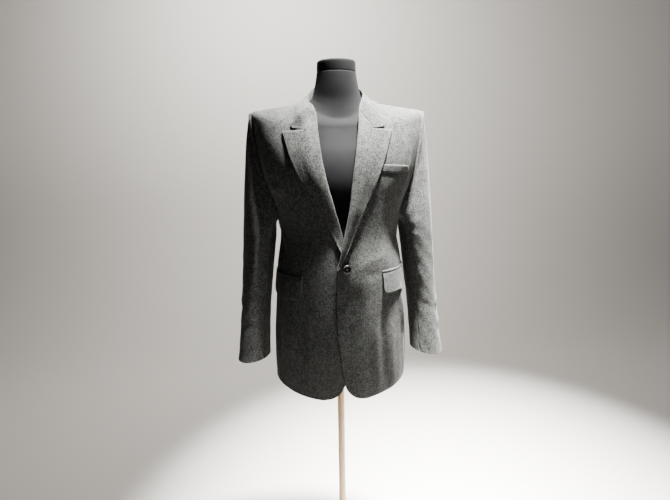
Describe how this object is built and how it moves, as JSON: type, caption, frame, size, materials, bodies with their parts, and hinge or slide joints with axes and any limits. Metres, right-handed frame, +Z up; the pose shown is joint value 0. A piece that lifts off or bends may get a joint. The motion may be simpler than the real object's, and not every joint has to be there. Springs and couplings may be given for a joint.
{
  "type": "single-breasted blazer on a dress form",
  "caption": "Tailored one-button blazer with wide peak lapels, flap pockets and a breast welt, worn open-sleeved on a limbless dress form on a round pole and base.",
  "frame": {"origin": "on the floor under the pole, at the middle of the base", "axes": "+Z up, -Y towards the front of the jacket, +X towards the wearer's left"},
  "size_m": [0.5584, 0.4, 1.5],
  "materials": {
    "flannel": "charcoal melange wool flannel, brushed",
    "jersey": "black cotton jersey",
    "horn": "polished dark horn",
    "wood": "clear satin lacquer"
  },
  "bodies": {
    "root": {"back_left": "flannel", "back_right": "flannel", "front_left": "flannel", "front_right": "flannel", "side_left": "flannel", "side_right": "flannel", "sleeve_top_left": "flannel", "sleeve_top_right": "flannel", "sleeve_under_left": "flannel", "sleeve_under_right": "flannel", "lapel_left": "flannel", "lapel_right": "flannel", "collar": "flannel", "flap_left": "flannel", "flap_right": "flannel", "jet_left": "flannel", "jet_right": "flannel", "welt_breast": "flannel", "button_front": "horn", "form_torso": "jersey", "form_neck_cap": "jersey", "stand_pole": "wood", "stand_base": "wood"}
  },
  "joints": []
}
